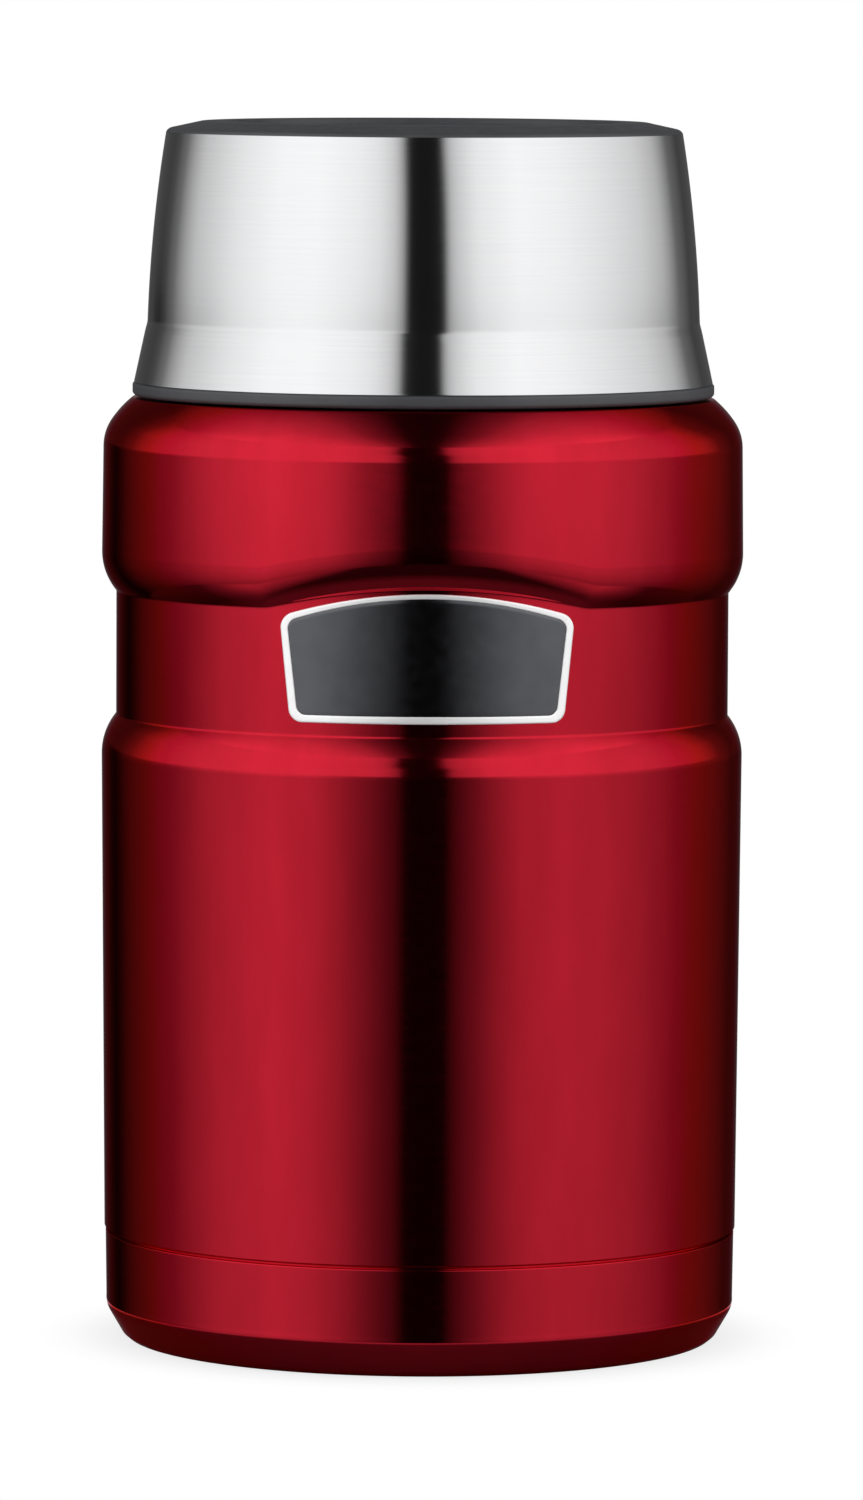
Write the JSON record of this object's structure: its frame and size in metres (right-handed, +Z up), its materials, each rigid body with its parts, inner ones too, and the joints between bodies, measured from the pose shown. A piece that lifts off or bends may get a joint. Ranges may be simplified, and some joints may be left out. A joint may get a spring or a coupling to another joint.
{
  "type": "insulated food jar",
  "caption": "Double-wall steel food jar in red lacquer with a screw-in stopper, a blank badge in a recessed band and a brushed steel bowl that screws on as the lid.",
  "frame": {"origin": "centre of the foot ring, on the surface the jar stands on", "axes": "+Z up along the jar's axis; the badge faces -Y"},
  "size_m": [0.1, 0.1, 0.19],
  "materials": {
    "red_lacquer": "clear-coated metallic lacquer",
    "brushed_steel": "brushed round the axis",
    "plain_steel": "electropolished",
    "dark_plastic": "satin moulded",
    "black_plastic": "fine texture",
    "silicone": "matt",
    "insulating_foam": "open foam",
    "copper_foil": "bright foil",
    "bright_plate": "bright",
    "badge_enamel": "gloss enamel",
    "getter_metal": "sintered",
    "seal_glass": "fused bead"
  },
  "bodies": {
    "jar": {"outer_shell": "red_lacquer", "base_cup": "red_lacquer", "bottom_plate": "plain_steel", "vacuum_seal": "seal_glass", "getter": "getter_metal", "getter_clip": "plain_steel", "inner_vessel": "plain_steel", "radiation_foil": "copper_foil", "badge_plate": "bright_plate", "badge_inlay": "badge_enamel"},
    "stopper_lift": {"stopper_gasket": "silicone"},
    "stopper": {"stopper_shell": "black_plastic", "stopper_cap": "black_plastic", "stopper_foam": "insulating_foam"},
    "lid_lift": {"liner_seal": "silicone"},
    "lid": {"lid_sleeve": "brushed_steel", "lid_collar": "dark_plastic", "lid_cap": "dark_plastic", "bowl_liner": "plain_steel"}
  },
  "joints": [
    {"name": "stopper_rise", "type": "slide", "parent": "jar", "child": "stopper_lift", "axis": [0, 0, 1], "range_m": [0, 0.036]},
    {"name": "stopper_turn", "type": "hinge", "parent": "stopper_lift", "child": "stopper", "pos_m": [0, 0, 0.15], "axis": [0, 0, 1], "range_deg": [0, 1080]},
    {"name": "lid_rise", "type": "slide", "parent": "stopper", "child": "lid_lift", "axis": [0, 0, 1], "range_m": [0, 0.036]},
    {"name": "lid_turn", "type": "hinge", "parent": "lid_lift", "child": "lid", "pos_m": [0, 0, 0.15], "axis": [0, 0, 1], "range_deg": [0, 1080]}
  ],
  "couplings": [
    {"joint": "stopper_rise", "follows": "stopper_turn", "m_per_rad": 0.0019099},
    {"joint": "lid_rise", "follows": "lid_turn", "m_per_rad": 0.0019099}
  ]
}
